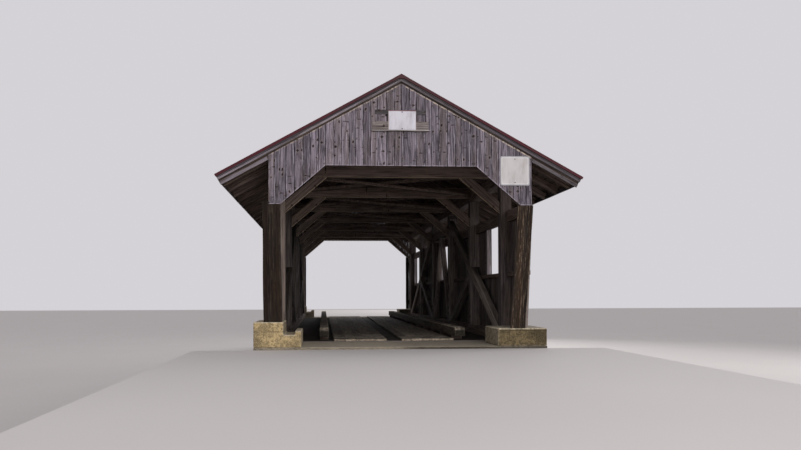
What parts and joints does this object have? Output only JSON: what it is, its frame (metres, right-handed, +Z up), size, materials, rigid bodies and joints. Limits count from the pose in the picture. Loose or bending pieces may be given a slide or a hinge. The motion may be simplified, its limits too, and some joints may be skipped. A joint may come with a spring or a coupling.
{
  "type": "covered bridge",
  "caption": "Narrow wooden covered bridge on queenpost trusses, with a red metal gable roof, wide eaves, boarded sides and portals, on concrete abutments",
  "frame": {"origin": "centre of the footprint, on the level where the abutments stand", "axes": "+Y along the roadway from the pictured portal to the other, +X across it to the right, +Z up"},
  "size_m": [7.5416, 19.32, 8.242],
  "materials": {
    "concrete": "matte",
    "floor_timber": "matte",
    "deck_plank": "matte",
    "track_plank": "matte",
    "curb_timber": "matte",
    "truss_timber": "matte",
    "tie_timber": "matte",
    "rafter_timber": "matte",
    "roof_board": "matte",
    "siding_board": "matte",
    "gable_board": "matte",
    "panel_board": "matte",
    "rake_board": "matte",
    "roof_metal": "satin"
  },
  "bodies": {
    "root": {"curb_blocks": "curb_timber", "curbs": "curb_timber", "deck": "deck_plank", "eave_boards": "rake_board", "far_abutment": "concrete", "far_corner_blocks": "concrete", "far_end_panels": "panel_board", "far_gable": "gable_board", "far_portal_frame": "truss_timber", "far_rake_boards": "rake_board", "floor_beams": "floor_timber", "knee_braces": "tie_timber", "left_bottom_chord": "truss_timber", "left_center_braces": "truss_timber", "left_counter_braces": "truss_timber", "left_end_posts": "truss_timber", "left_girts": "truss_timber", "left_main_braces": "truss_timber", "left_middle_posts": "truss_timber", "left_queen_posts": "truss_timber", "left_rafters": "rafter_timber", "left_roof_boards": "roof_board", "left_roof_sheet": "roof_metal", "left_siding_lower": "siding_board", "left_siding_upper": "siding_board", "lower_lateral_braces": "tie_timber", "near_abutment": "concrete", "near_corner_blocks": "concrete", "near_end_panels": "panel_board", "near_gable": "gable_board", "near_portal_frame": "truss_timber", "near_rake_boards": "rake_board", "ridge_cap": "roof_metal", "right_bottom_chord": "truss_timber", "right_center_braces": "truss_timber", "right_counter_braces": "truss_timber", "right_end_posts": "truss_timber", "right_girts": "truss_timber", "right_main_braces": "truss_timber", "right_middle_posts": "truss_timber", "right_queen_posts": "truss_timber", "right_rafters": "rafter_timber", "right_roof_boards": "roof_board", "right_roof_sheet": "roof_metal", "right_siding_lower": "siding_board", "right_siding_upper": "siding_board", "straining_beams": "truss_timber", "stringers": "floor_timber", "tie_beams": "tie_timber", "upper_lateral_braces": "tie_timber", "wall_plates": "truss_timber", "wheel_tracks": "track_plank", "window_jambs": "truss_timber"}
  },
  "joints": []
}
